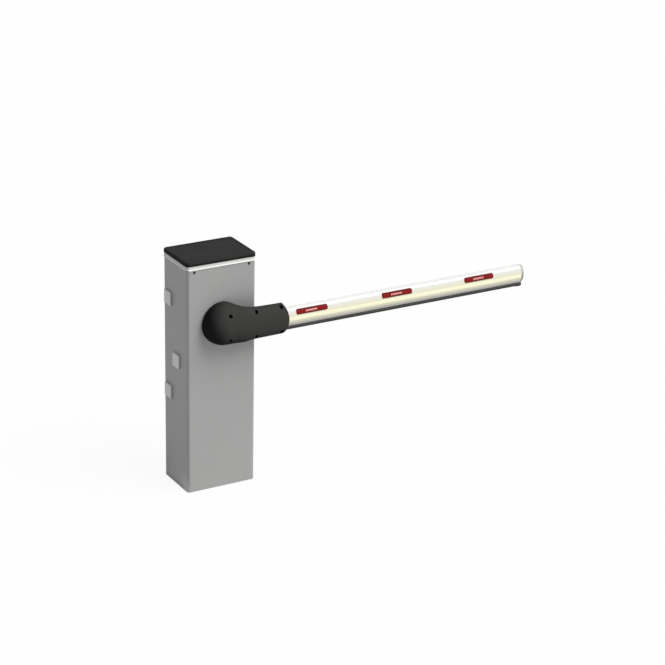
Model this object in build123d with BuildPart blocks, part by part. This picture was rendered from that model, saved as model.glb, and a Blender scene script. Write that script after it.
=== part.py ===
from build123d import *
import math
import os

os.makedirs("parts", exist_ok=True)

# Boom barrier, in millimetres. The origin is the middle of the housing's foot, at ground level.
# The boom points along +X, the face with the boom arm looks along -Y, and +Z is up.

# Clearance between two pieces of one body where they seat on each other
seat_gap = 0.3

# Sheet-steel housing
cabinet_width = 322.0
cabinet_depth = 227.0
shell_height = 1014.0
sheet = 2.5
corner_radius = 14.0

# Foot plate inside the housing, with the anchor holes and the cable entry
foot_thickness = 8.0
anchor_spacing_x = 230.0
anchor_spacing_y = 130.0
anchor_hole = 14.0
cable_entry_x = 120.0
cable_entry_y = 70.0
cable_entry_radius = 12.0

# Rear door, flush in its opening and resting on a frame behind the rear wall
door_side = 32.0
door_foot = 56.0
door_head = 58.0
door_gap = 0.8
door_radius = 6.0
door_frame_lap = 12.0
door_frame_thickness = 2.0
door_fold_depth = 14.0
lock_diameter = 24.0
lock_barrel = 19.0
lock_drop = 90.0
lock_length = 24.0
lock_head = 1.5
lock_slot_length = 10.0
lock_slot_width = 2.0

# Light band round the top of the housing
band_height = 18.0
band_wall = 6.0
band_proud = 1.0
band_lip_height = 6.5
band_lip_proud = 3.0
band_lip_chamfer = 1.5

# Moulded lid
lid_height = 18.0
lid_proud = 2.5
lid_wall = 3.5
lid_edge_radius = 7.0
lid_border = 14.0
lid_field_drop = 1.0

# Lugs under the lid and the screws that hold them, through the front and the rear wall
lug_width = 22.0
lug_thickness = 8.0
lug_below_screw = 11.0
lid_screw_inset = 33.0
lid_screw_drop = 10.0
lid_screw_shank = 5.0
lid_screw_head = 9.0
lid_screw_head_height = 2.4

# Blanking plates on the left side, each a dark frame under a pale cap.
# Every place is the depth position of the plate's middle and its drop below the shell's top.
plate_size = 60.0
plate_frame_thickness = 7.0
plate_cap_thickness = 2.0
plate_radius = 3.0
plate_edge = 0.6
plate_places = {"upper": (61.0, 171.0), "middle": (-16.0, 432.0), "lower": (61.0, 597.0)}

# Pivot of the boom: a shaft in a flanged bearing through the front wall
pivot_height = 762.0
shaft_diameter = 40.0
shaft_inside = 45.0
shaft_clearance = 0.05
shaft_flats = 34.0
flange_diameter = 88.0
flange_thickness = 5.0
spigot_diameter = 60.0
spigot_depth = 24.0
flange_screw_circle = 74.0
flange_screw_count = 4
flange_screw_shank = 5.0
flange_screw_across_flats = 8.0
flange_screw_head_height = 3.5
flange_screw_length = 12.0

# Boom, an aluminium section whose oval outline is drawn in four arcs
boom_offset = 67.0
boom_half_height = 43.0
boom_half_depth = 29.0
boom_tip_radius = 22.0
boom_wall = 2.5
boom_start = 48.0
boom_end = 1468.0

# Rubber strip under the boom and its end piece
rubber_width = 24.0
rubber_drop = 15.0
rubber_inside_cover = 1.5
rubber_radius = 5.0
rubber_end_length = 28.0
rubber_end_reach = 9.0
rubber_end_swell = 1.5

# End cap of the boom
cap_thickness = 14.0
cap_edge = 5.0
cap_plug_length = 30.0
cap_plug_wall = 3.0

# Reflectors on both faces of the boom
reflector_length = 152.0
reflector_height = 22.0
reflector_end_radius = 8.0
reflector_thickness = 1.2
reflector_rise = 23.0
reflector_first = 384.0
reflector_pitch = 422.5
reflector_count = 3

# Arm bracket on the shaft, with the channel that holds the boom, its strap and the shaft's bolt
hub_diameter = 62.0
hub_start = 14.0
bracket_back = 28.0
bracket_end = 230.0
bracket_pivot_radius = 46.0
spine_height = 52.0
spine_radius = 10.0
strap_thickness = 2.5
strap_width = 45.0
strap_foot_start = 18.5
strap_places = (62.0, 168.0)
bolt_shank = 12.0
bolt_across_flats = 19.0
bolt_head_height = 7.5
bolt_length = 30.0
washer_diameter = 46.0
washer_thickness = 3.0

# Moulded arm cover: a dome round the pivot that runs out into an oval sleeve over the boom.
# The sleeve's half heights are those at its end; its edges lean outwards towards the dome.
cover_start = 5.5
cover_wall = 3.5
dome_radius = 95.6
sleeve_upper = 63.1
sleeve_lower = 73.4
sleeve_lean_upper = 1.3
sleeve_lean_lower = 0.6
sleeve_front = 105.0
sleeve_middle = 60.0
sleeve_back = 18.0
neck_radius = 430.0
neck_length = 160.0
neck_section_count = 11
rise_length = 83.0
least_back_depth = 0.2
sleeve_corner = 252.0
sleeve_tip = 268.0
cover_back_hole = 99.0
cover_boom_gap = 0.5
cover_screw_rise = 54.0
cover_screw_inset = 12.0
cover_screw_pair_count = 3
front_boss_radius = 10.0
back_boss_radius = 5.0
recess_diameter = 16.0
recess_floor = 66.0
cover_screw_shank = 4.0
cover_screw_head = 9.0
cover_screw_head_height = 3.0
cover_screw_end = 52.0

half_turn = 180.0
front_y = -cabinet_depth / 2
lid_base = shell_height + band_height
door_width = cabinet_width - 2 * door_side
door_height = shell_height - door_foot - door_head
lid_screw_spacing = cabinet_width - 2 * lid_screw_inset
lid_screw_height = shell_height - lid_screw_drop


def front_plane(proud, x=0.0, z=0.0):
    """Parallel to the front wall and this far proud of it, X to the right and Z up."""
    return Plane(origin=(x, front_y - proud, z), x_dir=(1, 0, 0), z_dir=(0, -1, 0))


def cross_plane(x):
    """Across the boom at x: its own x is the distance proud of the front wall, its y the height."""
    return Plane(origin=(x, front_y, pivot_height), x_dir=(0, -1, 0), z_dir=(-1, 0, 0))


def flange_screw_places():
    first_angle = half_turn / flange_screw_count
    return PolarLocations(flange_screw_circle / 2, flange_screw_count, start_angle=first_angle)


def oval(growth):
    """The boom's outline, grown all round by this much: two flat side arcs and two tip arcs."""
    lift = boom_half_height - boom_tip_radius
    flat = boom_half_depth - boom_tip_radius
    side_radius = (lift**2 + boom_half_depth**2 - boom_tip_radius**2) / (2 * flat)
    shift = side_radius - boom_half_depth
    turn = math.degrees(math.atan2(lift, shift))
    tip_turn = half_turn - 2 * turn
    with BuildSketch() as outline:
        with BuildLine():
            CenterArc((-shift, 0), side_radius + growth, -turn, 2 * turn)
            CenterArc((0, lift), boom_tip_radius + growth, turn, tip_turn)
            CenterArc((shift, 0), side_radius + growth, half_turn - turn, 2 * turn)
            CenterArc((0, -lift), boom_tip_radius + growth, half_turn + turn, tip_turn)
        make_face()
    return outline.sketch


def save(piece, name):
    piece.part.label = name
    export_step(piece.part, f"parts/{name}.step")


# Housing, folded from one sheet and closed at the rear round the door opening
opening_width = door_width + 2 * door_gap
opening_height = door_height + 2 * door_gap
door_middle = door_foot + door_gap + door_height / 2
lid_screw_places = [(side * lid_screw_spacing / 2, lid_screw_height) for side in (-1, 1)]

with BuildPart() as cabinet_shell:
    with BuildSketch():
        RectangleRounded(cabinet_width, cabinet_depth, corner_radius)
        RectangleRounded(
            cabinet_width - 2 * sheet, cabinet_depth - 2 * sheet, corner_radius - sheet, mode=Mode.SUBTRACT
        )
    extrude(amount=shell_height)
    with BuildSketch(Plane.XZ.offset(-cabinet_depth / 2 - sheet)):
        with Locations((0, door_middle)):
            RectangleRounded(opening_width, opening_height, door_radius + door_gap)
    extrude(amount=3 * sheet, mode=Mode.SUBTRACT)
    with BuildSketch(front_plane(sheet, z=pivot_height)):
        Circle(spigot_diameter / 2 + seat_gap)
        with flange_screw_places():
            Circle(flange_screw_shank / 2 + seat_gap)
    extrude(amount=-3 * sheet, mode=Mode.SUBTRACT)
    with BuildSketch(Plane.XZ):
        with Locations(*lid_screw_places):
            Circle(lid_screw_shank / 2 + seat_gap)
    extrude(amount=cabinet_depth, both=True, mode=Mode.SUBTRACT)
save(cabinet_shell, "cabinet_shell")

# Foot plate, let into the housing flush with its lower edge
foot_inset = 2 * (sheet + seat_gap)
with BuildPart() as foot_plate:
    with BuildSketch():
        RectangleRounded(
            cabinet_width - foot_inset, cabinet_depth - foot_inset, corner_radius - sheet - seat_gap
        )
        RectangleRounded(cable_entry_x, cable_entry_y, cable_entry_radius, mode=Mode.SUBTRACT)
    extrude(amount=foot_thickness)
    with Locations((0, 0, foot_thickness)):
        with GridLocations(anchor_spacing_x, anchor_spacing_y, 2, 2):
            Hole(anchor_hole / 2)
save(foot_plate, "foot_plate")

# Frame behind the door opening, which the door rests on
inner_rear_y = cabinet_depth / 2 - sheet
with BuildPart() as door_frame:
    with BuildSketch(Plane.XZ.offset(-inner_rear_y)):
        with Locations((0, door_middle)):
            RectangleRounded(
                opening_width + 2 * door_frame_lap, opening_height + 2 * door_frame_lap, door_radius
            )
            RectangleRounded(
                opening_width - 2 * door_frame_lap,
                opening_height - 2 * door_frame_lap,
                door_radius,
                mode=Mode.SUBTRACT,
            )
    extrude(amount=door_frame_thickness)
save(door_frame, "door_frame")

# Rear door: a flat panel with an edge folded inwards
lock_height = door_foot + door_gap + door_height - lock_drop
fold_width = opening_width - 2 * door_frame_lap - 2 * door_gap
fold_height = opening_height - 2 * door_frame_lap - 2 * door_gap
with BuildPart() as rear_door:
    with BuildSketch(Plane.XZ.offset(-inner_rear_y)):
        with Locations((0, door_middle)):
            RectangleRounded(door_width, door_height, door_radius)
    extrude(amount=-sheet)
    with BuildSketch(Plane.XZ.offset(-inner_rear_y)):
        with Locations((0, door_middle)):
            RectangleRounded(fold_width, fold_height, door_radius)
            RectangleRounded(
                fold_width - 2 * sheet, fold_height - 2 * sheet, door_radius - sheet, mode=Mode.SUBTRACT
            )
    extrude(amount=door_fold_depth)
    with BuildSketch(Plane.XZ.offset(-inner_rear_y - 2 * sheet)):
        with Locations((0, lock_height)):
            Circle(lock_barrel / 2 + seat_gap)
    extrude(amount=4 * sheet, mode=Mode.SUBTRACT)
save(rear_door, "rear_door")

# Door lock: a round head on the door's face, a barrel behind it and a key slot
with BuildPart() as door_lock:
    with BuildSketch(Plane.XZ.offset(-cabinet_depth / 2)):
        with Locations((0, lock_height)):
            Circle(lock_diameter / 2)
    extrude(amount=-lock_head)
    chamfer(door_lock.edges().group_by(Axis.Y)[-1], lock_head / 3)
    with BuildSketch(Plane.XZ.offset(-cabinet_depth / 2)):
        with Locations((0, lock_height)):
            Circle(lock_barrel / 2)
    extrude(amount=lock_length)
    with BuildSketch(Plane.XZ.offset(-cabinet_depth / 2 - lock_head)):
        with Locations((0, lock_height)):
            SlotOverall(lock_slot_length, lock_slot_width, rotation=90)
    extrude(amount=lock_length / 2, mode=Mode.SUBTRACT)
save(door_lock, "door_lock")

# Light band: a translucent ring with a lip that sheds water over the housing's edge.
# It is notched inside for the lid's lugs.
inner_depth = cabinet_depth - 2 * sheet
with BuildPart() as light_band:
    with BuildSketch(Plane.XY.offset(shell_height)):
        RectangleRounded(
            cabinet_width + 2 * band_lip_proud,
            cabinet_depth + 2 * band_lip_proud,
            corner_radius + band_lip_proud,
        )
    extrude(amount=band_lip_height)
    chamfer(light_band.edges().group_by(Axis.Z)[-1], band_lip_chamfer)
    with BuildSketch(Plane.XY.offset(shell_height)):
        RectangleRounded(
            cabinet_width + 2 * band_proud, cabinet_depth + 2 * band_proud, corner_radius + band_proud
        )
    extrude(amount=band_height)
    with BuildSketch(Plane.XY.offset(shell_height)):
        RectangleRounded(
            cabinet_width - 2 * band_wall, cabinet_depth - 2 * band_wall, corner_radius - band_wall / 2
        )
        for side in (-1, 1):
            with Locations((side * lid_screw_spacing / 2, 0)):
                Rectangle(lug_width + 2 * seat_gap, inner_depth)
    extrude(amount=band_height, mode=Mode.SUBTRACT)
save(light_band, "light_band")

# Lid: a moulded tray with a rounded edge, a sunk field on top and four screw lugs
lug_foot = lid_screw_height - lug_below_screw
lug_middle = inner_depth / 2 - seat_gap - lug_thickness / 2
lid_top = lid_base + lid_height
lid_skin = lid_wall + lid_field_drop
with BuildPart() as lid:
    with BuildSketch(Plane.XY.offset(lid_base)):
        RectangleRounded(
            cabinet_width + 2 * lid_proud, cabinet_depth + 2 * lid_proud, corner_radius + lid_proud
        )
    extrude(amount=lid_height)
    fillet(lid.edges().group_by(Axis.Z)[-1], lid_edge_radius)
    with BuildSketch(Plane.XY.offset(lid_top)):
        RectangleRounded(cabinet_width - 2 * lid_border, cabinet_depth - 2 * lid_border, corner_radius)
    extrude(amount=-lid_field_drop, mode=Mode.SUBTRACT)
    with BuildSketch(Plane.XY.offset(lid_base)):
        RectangleRounded(
            cabinet_width + 2 * lid_proud - 2 * lid_wall,
            cabinet_depth + 2 * lid_proud - 2 * lid_wall,
            corner_radius + lid_proud - lid_wall,
        )
    extrude(amount=lid_height - lid_skin - lid_edge_radius / 2, mode=Mode.SUBTRACT)
    with BuildSketch(Plane.XY.offset(lug_foot)):
        with GridLocations(lid_screw_spacing, 2 * lug_middle, 2, 2):
            Rectangle(lug_width, lug_thickness)
    extrude(amount=lid_top - lid_skin - lug_foot)
    with BuildSketch(Plane.XZ):
        with Locations(*lid_screw_places):
            Circle(lid_screw_shank / 2 + seat_gap)
    extrude(amount=cabinet_depth, both=True, mode=Mode.SUBTRACT)
save(lid, "lid")


def lid_screw(x, back):
    """A button-head screw through the front wall or the rear wall."""
    turn = half_turn if back else 0
    start = front_plane(0, x=x, z=lid_screw_height)
    with BuildPart() as screw:
        with BuildSketch(start):
            Circle(lid_screw_head / 2)
        extrude(amount=lid_screw_head_height)
        chamfer(screw.edges().group_by(Axis.Y)[0], lid_screw_head_height / 2)
        with BuildSketch(start):
            Circle(lid_screw_shank / 2)
        extrude(amount=-(sheet + seat_gap + lug_thickness))
    screw.part = screw.part.rotate(Axis.Z, turn)
    return screw


for side, sign in (("left", -1), ("right", 1)):
    save(lid_screw(sign * lid_screw_spacing / 2, back=False), f"lid_screw_front_{side}")
    save(lid_screw(-sign * lid_screw_spacing / 2, back=True), f"lid_screw_rear_{side}")

# Blanking plates on the left side
side_face = Plane(origin=(-cabinet_width / 2, 0, 0), x_dir=(0, -1, 0), z_dir=(-1, 0, 0))
for place, (depth_position, drop) in plate_places.items():
    height = shell_height - drop
    with BuildPart() as plate_frame:
        with BuildSketch(side_face):
            with Locations((-depth_position, height)):
                RectangleRounded(plate_size, plate_size, plate_radius)
        extrude(amount=plate_frame_thickness)
    save(plate_frame, f"side_plate_frame_{place}")
    with BuildPart() as plate_cap:
        with BuildSketch(side_face.offset(plate_frame_thickness)):
            with Locations((-depth_position, height)):
                RectangleRounded(plate_size, plate_size, plate_radius)
        extrude(amount=plate_cap_thickness)
        chamfer(plate_cap.edges().group_by(Axis.X)[0], plate_edge)
    save(plate_cap, f"side_plate_cap_{place}")

# Flanged bearing on the front wall
with BuildPart() as bearing_flange:
    with BuildSketch(front_plane(0, z=pivot_height)):
        Circle(flange_diameter / 2)
    extrude(amount=flange_thickness)
    with BuildSketch(front_plane(0, z=pivot_height)):
        Circle(spigot_diameter / 2)
    extrude(amount=-spigot_depth)
    with Locations(front_plane(flange_thickness, z=pivot_height)):
        Hole(shaft_diameter / 2 + shaft_clearance)
        with flange_screw_places():
            Hole(flange_screw_shank / 2 + seat_gap)
save(bearing_flange, "bearing_flange")

# Hexagon screws of the bearing
with BuildPart() as flange_screws:
    with BuildSketch(front_plane(flange_thickness, z=pivot_height)):
        with flange_screw_places():
            RegularPolygon(flange_screw_across_flats / 2, 6, major_radius=False)
    extrude(amount=flange_screw_head_height)
    with BuildSketch(front_plane(flange_thickness, z=pivot_height)):
        with flange_screw_places():
            Circle(flange_screw_shank / 2)
    extrude(amount=-flange_screw_length)
save(flange_screws, "flange_screws")

# Pivot shaft: a round journal, two flats where the hub grips it and a bolt hole in its end
bracket_front = boom_offset - boom_half_depth - seat_gap
with BuildPart() as pivot_shaft:
    with BuildSketch(front_plane(-shaft_inside, z=pivot_height)):
        Circle(shaft_diameter / 2)
    extrude(amount=shaft_inside + hub_start)
    with BuildSketch(front_plane(hub_start, z=pivot_height)):
        Circle(shaft_diameter / 2)
        Rectangle(shaft_diameter, shaft_flats, mode=Mode.INTERSECT)
    extrude(amount=bracket_front - hub_start)
    with BuildSketch(front_plane(bracket_front, z=pivot_height)):
        Circle(bolt_shank / 2 + seat_gap)
    extrude(amount=-(bolt_length + seat_gap), mode=Mode.SUBTRACT)
    chamfer(pivot_shaft.edges().group_by(Axis.Y)[-1], 1)
save(pivot_shaft, "pivot_shaft")

# Arm bracket: a hub with a round plate, and the spine that the boom lies on
with BuildPart() as arm_bracket:
    with BuildSketch(front_plane(hub_start, z=pivot_height)):
        Circle(hub_diameter / 2)
    extrude(amount=bracket_back - hub_start)
    with BuildSketch(front_plane(bracket_back, z=pivot_height)) as bracket_outline:
        Circle(bracket_pivot_radius)
        with Locations((bracket_end / 2, 0)):
            Rectangle(bracket_end, spine_height)
        fillet(bracket_outline.vertices().group_by(Axis.X)[-1], spine_radius)
    extrude(amount=bracket_front - bracket_back)
    with BuildSketch(front_plane(hub_start - 1, z=pivot_height)):
        Circle(shaft_diameter / 2 + seat_gap)
        Rectangle(shaft_diameter + 2, shaft_flats + 2 * seat_gap, mode=Mode.INTERSECT)
    extrude(amount=bracket_front, mode=Mode.SUBTRACT)
save(arm_bracket, "arm_bracket")

# Bolt and washer that hold the bracket on the shaft
with BuildPart() as shaft_bolt:
    with BuildSketch(front_plane(bracket_front, z=pivot_height)):
        Circle(washer_diameter / 2)
    extrude(amount=washer_thickness)
    with BuildSketch(front_plane(bracket_front + washer_thickness, z=pivot_height)):
        RegularPolygon(bolt_across_flats / 2, 6, major_radius=False)
    extrude(amount=bolt_head_height)
    with BuildSketch(front_plane(bracket_front, z=pivot_height)):
        Circle(bolt_shank / 2)
    extrude(amount=-bolt_length)
save(shaft_bolt, "shaft_bolt")

# Boom: a hollow oval section
with BuildPart() as boom_tube:
    with BuildSketch(cross_plane(boom_start)):
        with Locations((boom_offset, 0)):
            add(oval(0))
            add(oval(-boom_wall), mode=Mode.SUBTRACT)
    extrude(amount=-(boom_end - boom_start))
save(boom_tube, "boom_tube")

# Two straps that go round the front of the boom. Each ends in two flat feet on the spine's face,
# one over and one under the line where the boom lies against it.
for name, start in zip(("inner", "outer"), strap_places):
    with BuildPart() as boom_strap:
        with BuildSketch(cross_plane(start)):
            with Locations((boom_offset, 0)):
                add(oval(seat_gap + strap_thickness))
            with Locations((bracket_front, 0)):
                Rectangle(
                    4 * boom_half_depth,
                    4 * boom_half_height,
                    align=(Align.MIN, Align.CENTER),
                    mode=Mode.INTERSECT,
                )
                Rectangle(strap_thickness, spine_height, align=(Align.MIN, Align.CENTER))
                Rectangle(
                    boom_offset - bracket_front,
                    2 * strap_foot_start,
                    align=(Align.MIN, Align.CENTER),
                    mode=Mode.SUBTRACT,
                )
            with Locations((boom_offset, 0)):
                add(oval(seat_gap), mode=Mode.SUBTRACT)
        extrude(amount=-strap_width)
    save(boom_strap, f"boom_strap_{name}")


def rubber_profile(swell):
    """Rubber section under the boom, fitted to the tube's underside."""
    width = rubber_width + 2 * swell
    foot = boom_half_height + rubber_drop + swell
    with BuildSketch() as profile:
        with Locations((boom_offset, -foot)):
            Rectangle(width, rubber_drop + boom_half_height / 2, align=(Align.CENTER, Align.MIN))
        fillet(profile.vertices().group_by(Axis.Y)[0], rubber_radius)
        with Locations((boom_offset, 0)):
            add(oval(seat_gap), mode=Mode.SUBTRACT)
    return profile.sketch


# Rubber strip along the underside and the closed piece at its end. The strip starts in the sleeve.
rubber_start = sleeve_corner - rubber_inside_cover
rubber_end_start = boom_end - rubber_end_length
with BuildPart() as bumper_rubber:
    with BuildSketch(cross_plane(rubber_start)):
        add(rubber_profile(0))
    extrude(amount=-(rubber_end_start - rubber_start))
save(bumper_rubber, "bumper_rubber")

with BuildPart() as bumper_end:
    with BuildSketch(cross_plane(rubber_end_start)):
        add(rubber_profile(rubber_end_swell))
    extrude(amount=-(rubber_end_length + rubber_end_reach))
save(bumper_end, "bumper_end")

# End cap: a plate with a bevelled edge over the tube's end and a hollow plug inside it
plug_inset = boom_wall + seat_gap
with BuildPart() as end_cap:
    with BuildSketch(cross_plane(boom_end)):
        with Locations((boom_offset, 0)):
            add(oval(0))
    extrude(amount=-cap_thickness)
    chamfer(end_cap.edges().group_by(Axis.X)[-1], cap_edge)
    with BuildSketch(cross_plane(boom_end)):
        with Locations((boom_offset, 0)):
            add(oval(-plug_inset))
            add(oval(-plug_inset - cap_plug_wall), mode=Mode.SUBTRACT)
    extrude(amount=cap_plug_length)
save(end_cap, "end_cap")


def reflector(middle_x, back):
    """A thin rounded plate that follows the tube's curve, on its front face or its rear face."""
    half = reflector_length / 2
    with BuildPart() as plate:
        with BuildSketch(cross_plane(middle_x - half)):
            with Locations((boom_offset, 0)):
                add(oval(seat_gap + reflector_thickness))
                add(oval(seat_gap), mode=Mode.SUBTRACT)
        extrude(amount=-reflector_length)
        with BuildSketch(front_plane(boom_offset, x=middle_x, z=pivot_height + reflector_rise)):
            RectangleRounded(reflector_length, reflector_height, reflector_end_radius)
        extrude(amount=(-2 if back else 2) * boom_half_depth, mode=Mode.INTERSECT)
    return plate


for index in range(reflector_count):
    middle = reflector_first + index * reflector_pitch
    save(reflector(middle, back=False), f"reflector_front_{index + 1}")
    save(reflector(middle, back=True), f"reflector_rear_{index + 1}")


# Arm cover. Seen from the front, its upper and lower edge are each the dome's circle, a hollow neck
# arc and the sleeve's straight edge. Its front, middle plane and back move from the dome's to the
# sleeve's place along an S-shaped curve.
def cover_half_height(x, end_height, lean):
    """Half height of the cover at x, for an edge with this height at the sleeve's end."""
    lean_radians = math.radians(lean)
    slope = math.tan(lean_radians)
    edge_distance = (end_height + slope * sleeve_corner) * math.cos(lean_radians) + neck_radius
    edge_run = math.sqrt((dome_radius + neck_radius) ** 2 - edge_distance**2)
    neck_x = edge_run * math.cos(lean_radians) + edge_distance * math.sin(lean_radians)
    neck_z = edge_distance * math.cos(lean_radians) - edge_run * math.sin(lean_radians)
    if x < neck_x * dome_radius / (dome_radius + neck_radius):
        return math.sqrt(dome_radius**2 - x**2)
    if x < neck_x - neck_radius * math.sin(lean_radians):
        return neck_z - math.sqrt(neck_radius**2 - (neck_x - x) ** 2)
    return end_height + slope * (sleeve_corner - x)


def cover_section(x, inset):
    """Cross-section of the cover at x, in four arcs with the widest place on its middle plane."""
    share = min(x / rise_length, 1.0)
    rise = share * share * (3 - 2 * share)
    dome_front = cover_start + dome_radius
    front = dome_front + (sleeve_front - dome_front) * rise
    middle = cover_start + (sleeve_middle - cover_start) * rise
    back = cover_start + (sleeve_back - cover_start) * rise
    front_depth = front - middle - inset
    # Next to the dome this arc is shallow, and the flat cut at the cover's start trims it off
    back_depth = max(middle - back - inset, least_back_depth)
    upper = cover_half_height(x, sleeve_upper, sleeve_lean_upper) - inset
    lower = cover_half_height(x, sleeve_lower, sleeve_lean_lower) - inset
    quarter = half_turn / 2
    with BuildSketch(cross_plane(x)) as section:
        with BuildLine():
            EllipticalCenterArc((middle, 0), front_depth, lower, -quarter, arc_size=quarter)
            EllipticalCenterArc((middle, 0), front_depth, upper, 0, arc_size=quarter)
            EllipticalCenterArc((middle, 0), back_depth, upper, quarter, arc_size=quarter)
            EllipticalCenterArc((middle, 0), back_depth, lower, half_turn, arc_size=quarter)
        make_face()
    return section.sketch


end_sag = sleeve_tip - sleeve_corner
end_half_height = (sleeve_upper + sleeve_lower) / 2
end_radius = (end_half_height**2 + end_sag**2) / (2 * end_sag)
neck_pitch = neck_length / (neck_section_count - 1)
neck_stations = [neck_pitch * index for index in range(neck_section_count)]
# The sleeve's surface is parted just before its curved end
sleeve_parting = sleeve_corner - 1.5 * cover_wall
sleeve_stations = (neck_length, sleeve_parting, sleeve_tip + 2 * cover_wall)


def cover_solid(inset):
    """The cover's outer form, or with an inset the plainer hollow inside it."""
    tip = sleeve_tip - inset
    with BuildPart() as dome:
        Sphere(dome_radius - inset)
        split(bisect_by=Plane.XZ, keep=Keep.TOP)
        split(bisect_by=Plane.YZ, keep=Keep.BOTTOM)
    with BuildPart() as body:
        if inset == 0:
            loft([cover_section(x, inset) for x in neck_stations])
        else:
            loft([cover_section(x, inset) for x in neck_stations[::2]], ruled=True)
        loft([cover_section(x, inset) for x in sleeve_stations], ruled=True)
        add(dome.part.moved(Location((0, front_y - cover_start, pivot_height))))
        with BuildSketch(front_plane(cover_start + inset, z=pivot_height)):
            with Locations((tip - end_radius + inset, 0)):
                Circle(end_radius - inset)
            with Locations((-2 * dome_radius, 0)):
                Rectangle(tip + dome_radius, 4 * dome_radius, align=(Align.MIN, Align.CENTER))
        extrude(amount=2 * sleeve_front, mode=Mode.INTERSECT)
    return body


# The pairs of screws are spread evenly from the pivot to the sleeve's end
cover_screw_pitch = (sleeve_corner - cover_screw_inset) / (cover_screw_pair_count - 1)
cover_screw_places = [
    (pair * cover_screw_pitch, side * cover_screw_rise)
    for pair in range(cover_screw_pair_count)
    for side in (-1, 1)
]
# The screw bosses end halfway into the wall, so that they are one with it
boss_limit = cover_solid(cover_wall / 2)
with BuildPart() as cover_shell:
    add(cover_solid(0).part)
    add(cover_solid(cover_wall).part, mode=Mode.SUBTRACT)
    with BuildSketch(front_plane(cover_start - 1, z=pivot_height)):
        Circle(cover_back_hole / 2)
    extrude(amount=cover_wall + 2, mode=Mode.SUBTRACT)
    with BuildSketch(cross_plane(sleeve_corner - 2 * cover_wall)):
        with Locations((boom_offset, 0)):
            add(oval(cover_boom_gap))
            Rectangle(
                rubber_width + 2 * cover_boom_gap,
                boom_half_height + rubber_drop + cover_boom_gap,
                align=(Align.CENTER, Align.MAX),
            )
    extrude(amount=-(sleeve_tip - sleeve_corner + 4 * cover_wall), mode=Mode.SUBTRACT)


def cover_half(kept, boss_radius, boss_start, boss_end):
    """One half of the cover with its screw bosses, the recesses and the screw holes."""
    with BuildPart() as bosses:
        with BuildSketch(front_plane(boss_start, z=pivot_height)):
            with Locations(*cover_screw_places):
                Circle(boss_radius)
        extrude(amount=boss_end - boss_start)
        add(boss_limit.part, mode=Mode.INTERSECT)
    with BuildPart() as half:
        add(cover_shell.part)
        split(bisect_by=front_plane(sleeve_middle), keep=kept)
        add(bosses.part)
        with BuildSketch(front_plane(recess_floor, z=pivot_height)):
            with Locations(*cover_screw_places):
                Circle(recess_diameter / 2)
        extrude(amount=sleeve_front - recess_floor, mode=Mode.SUBTRACT)
        with BuildSketch(front_plane(cover_screw_end - seat_gap, z=pivot_height)):
            with Locations(*cover_screw_places):
                Circle(cover_screw_shank / 2 + seat_gap)
        extrude(amount=recess_floor - cover_screw_end + seat_gap, mode=Mode.SUBTRACT)
    return half


# The two halves meet on the sleeve's middle plane
save(cover_half(Keep.TOP, front_boss_radius, sleeve_middle, sleeve_front), "cover_front")
save(cover_half(Keep.BOTTOM, back_boss_radius, cover_start, sleeve_middle), "cover_back")

# Screws of the cover, sunk in their recesses
for number, (x, rise) in enumerate(cover_screw_places):
    place = ("pivot", "middle", "outer")[number // 2]
    level = "upper" if rise > 0 else "lower"
    seat = front_plane(recess_floor, x=x, z=pivot_height + rise)
    with BuildPart() as cover_screw:
        with BuildSketch(seat):
            Circle(cover_screw_head / 2)
        extrude(amount=cover_screw_head_height)
        with BuildSketch(seat):
            Circle(cover_screw_shank / 2)
        extrude(amount=-(recess_floor - cover_screw_end))
    save(cover_screw, f"cover_screw_{place}_{level}")
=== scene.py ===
import math

import bmesh
import bpy
from mathutils import Matrix, Vector


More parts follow.
